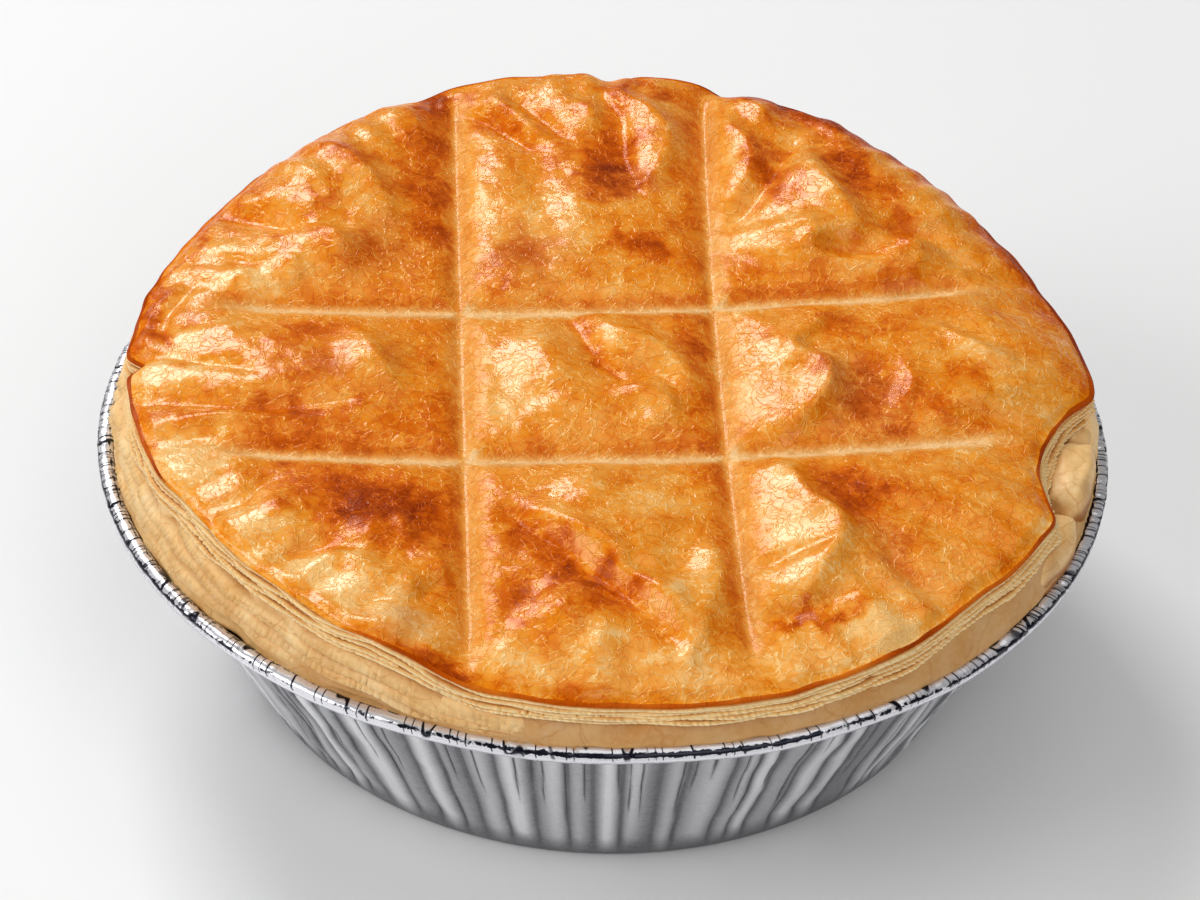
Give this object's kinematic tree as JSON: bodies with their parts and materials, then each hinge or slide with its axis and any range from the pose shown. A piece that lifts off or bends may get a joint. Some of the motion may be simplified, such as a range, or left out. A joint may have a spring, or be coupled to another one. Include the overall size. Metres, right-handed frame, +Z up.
{
  "type": "breakfast pie in foil tin",
  "caption": "Round single-serve breakfast pie with a puffed, groove-pressed golden lid over a pale layered pastry case, in its fluted foil tin with a rolled rim.",
  "frame": {"origin": "middle of the tin's underside, on the surface the pie stands on", "axes": "+Z up out of the pie; +X to the right and +Y to the back along the lid's pressed grooves, the pie being looked at from -Y"},
  "size_m": [0.122, 0.122, 0.0476],
  "materials": {
    "foil": "soft satin foil with pressed flutes, brighter on the rolled rim",
    "case_pastry": "matte pale baked pastry in thin flaky layers",
    "lid_pastry": "egg-glazed golden puff pastry, crackled and browned in patches"
  },
  "bodies": {
    "root": {"foil_tin": "foil", "pie_base": "case_pastry", "puff_lid": "lid_pastry"}
  },
  "joints": []
}
